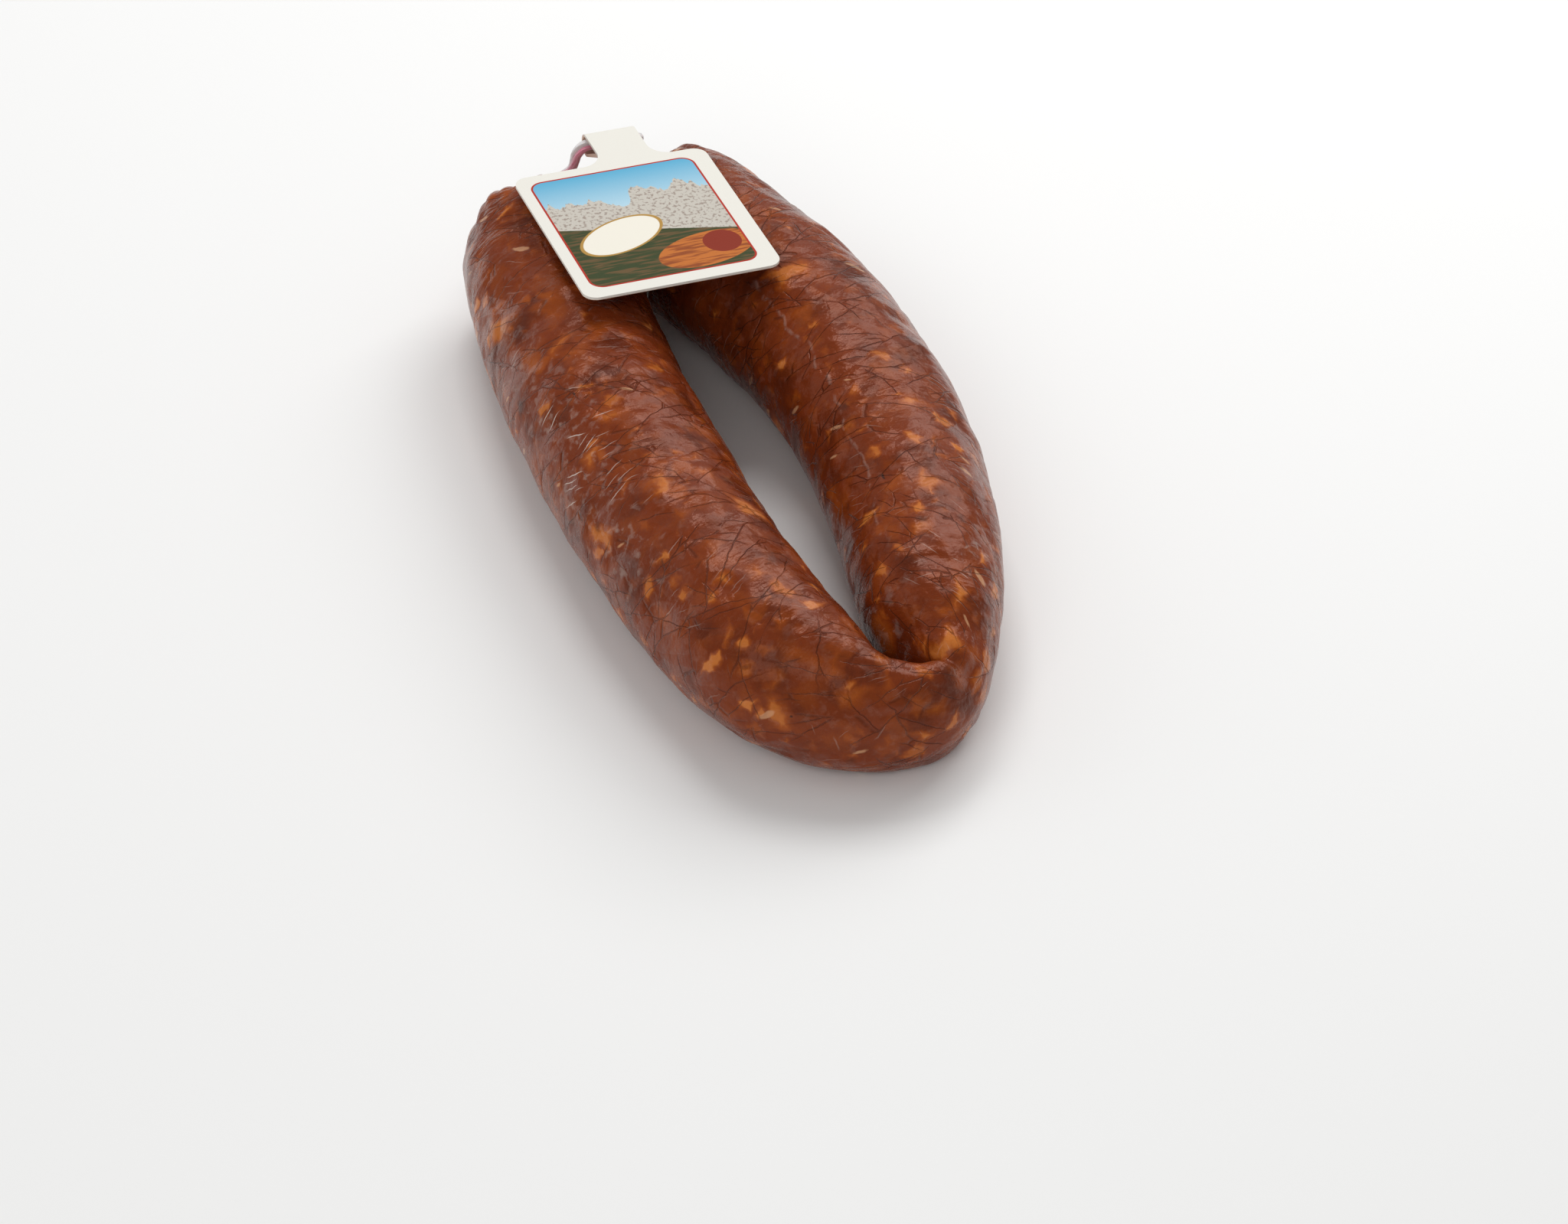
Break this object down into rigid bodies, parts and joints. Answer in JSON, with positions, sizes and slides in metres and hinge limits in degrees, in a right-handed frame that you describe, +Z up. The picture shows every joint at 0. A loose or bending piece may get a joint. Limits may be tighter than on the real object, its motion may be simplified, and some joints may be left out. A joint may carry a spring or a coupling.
{
  "type": "italian sausage",
  "caption": "Cured Italian sausage bent into a horseshoe, clipped casing ends tied with a string that carries a printed card tag.",
  "frame": {"origin": "under the middle of the sausage, on the surface it lies on", "axes": "+Y from the fold towards the two tied ends, +Z up, +X to the right seen from above with the ends away"},
  "size_m": [0.1004, 0.212, 0.0469],
  "materials": {
    "casing": "satin cured meat in a thin translucent natural casing",
    "aluminium": "satin pressed strip",
    "twine": "two-coloured loose cotton twine",
    "card": "smooth printed card"
  },
  "bodies": {
    "root": {"sausage": "casing", "clip_left": "aluminium", "clip_right": "aluminium", "string": "twine", "tag": "card"}
  },
  "joints": []
}
